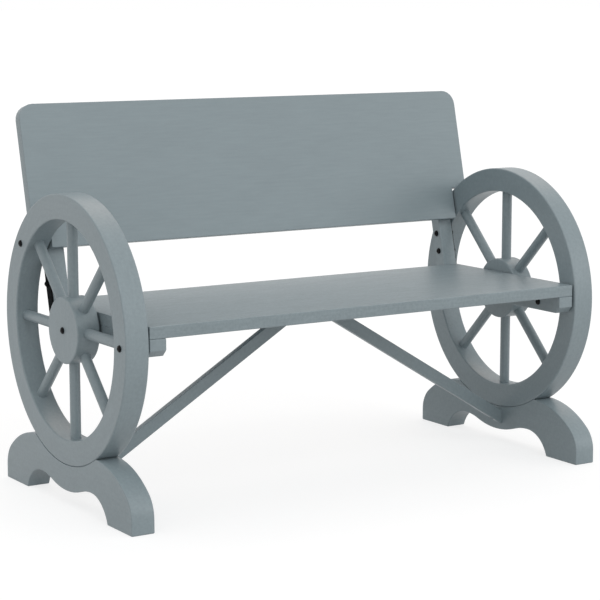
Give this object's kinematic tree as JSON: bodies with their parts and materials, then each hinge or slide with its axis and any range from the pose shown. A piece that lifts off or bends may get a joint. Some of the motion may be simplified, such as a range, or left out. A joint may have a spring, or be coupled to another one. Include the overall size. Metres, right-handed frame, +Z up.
{
  "type": "wagon wheel bench",
  "caption": "Garden bench with a plank seat and a leaning plank backrest, carried between spoked wagon wheels that stand in scalloped feet, with diagonal braces below.",
  "frame": {"origin": "on the floor under the middle of the bench, level with the centres of the wheels", "axes": "+X along the seat to the right as seen from the front, +Y from the front to the back, +Z up"},
  "size_m": [1.158, 0.578, 0.8025],
  "materials": {
    "grey_painted_wood": "satin cool grey paint over fine straight grain",
    "black_steel": "black, satin",
    "zinc_screws": "zinc plated",
    "bare_dowel_wood": "bare hardwood, glued in"
  },
  "bodies": {
    "root": {"left_felloe_1": "grey_painted_wood", "left_felloe_2": "grey_painted_wood", "left_felloe_3": "grey_painted_wood", "left_felloe_4": "grey_painted_wood", "left_felloe_5": "grey_painted_wood", "left_felloe_6": "grey_painted_wood", "left_felloe_7": "grey_painted_wood", "left_felloe_8": "grey_painted_wood", "right_felloe_1": "grey_painted_wood", "right_felloe_2": "grey_painted_wood", "right_felloe_3": "grey_painted_wood", "right_felloe_4": "grey_painted_wood", "right_felloe_5": "grey_painted_wood", "right_felloe_6": "grey_painted_wood", "right_felloe_7": "grey_painted_wood", "right_felloe_8": "grey_painted_wood", "left_spoke_1": "grey_painted_wood", "left_spoke_2": "grey_painted_wood", "left_spoke_3": "grey_painted_wood", "left_spoke_4": "grey_painted_wood", "left_spoke_5": "grey_painted_wood", "left_spoke_6": "grey_painted_wood", "left_spoke_7": "grey_painted_wood", "left_spoke_8": "grey_painted_wood", "right_spoke_1": "grey_painted_wood", "right_spoke_2": "grey_painted_wood", "right_spoke_3": "grey_painted_wood", "right_spoke_4": "grey_painted_wood", "right_spoke_5": "grey_painted_wood", "right_spoke_6": "grey_painted_wood", "right_spoke_7": "grey_painted_wood", "right_spoke_8": "grey_painted_wood", "left_hub": "grey_painted_wood", "left_foot": "grey_painted_wood", "left_beam": "grey_painted_wood", "left_upright": "grey_painted_wood", "left_rear_strap": "black_steel", "left_front_strap": "black_steel", "left_brace": "grey_painted_wood", "left_wheel_bolts": "black_steel", "right_hub": "grey_painted_wood", "right_foot": "grey_painted_wood", "right_beam": "grey_painted_wood", "right_upright": "grey_painted_wood", "right_rear_strap": "black_steel", "right_front_strap": "black_steel", "right_brace": "grey_painted_wood", "right_wheel_bolts": "black_steel", "seat_board": "grey_painted_wood", "backrest_board": "grey_painted_wood", "rim_dowels": "bare_dowel_wood", "hub_spacers": "black_steel", "upright_bolts": "black_steel", "beam_bolts": "black_steel", "strap_nuts": "black_steel", "seat_screws": "zinc_screws", "backrest_screws": "zinc_screws", "brace_screws": "zinc_screws", "foot_screws": "zinc_screws"}
  },
  "joints": []
}
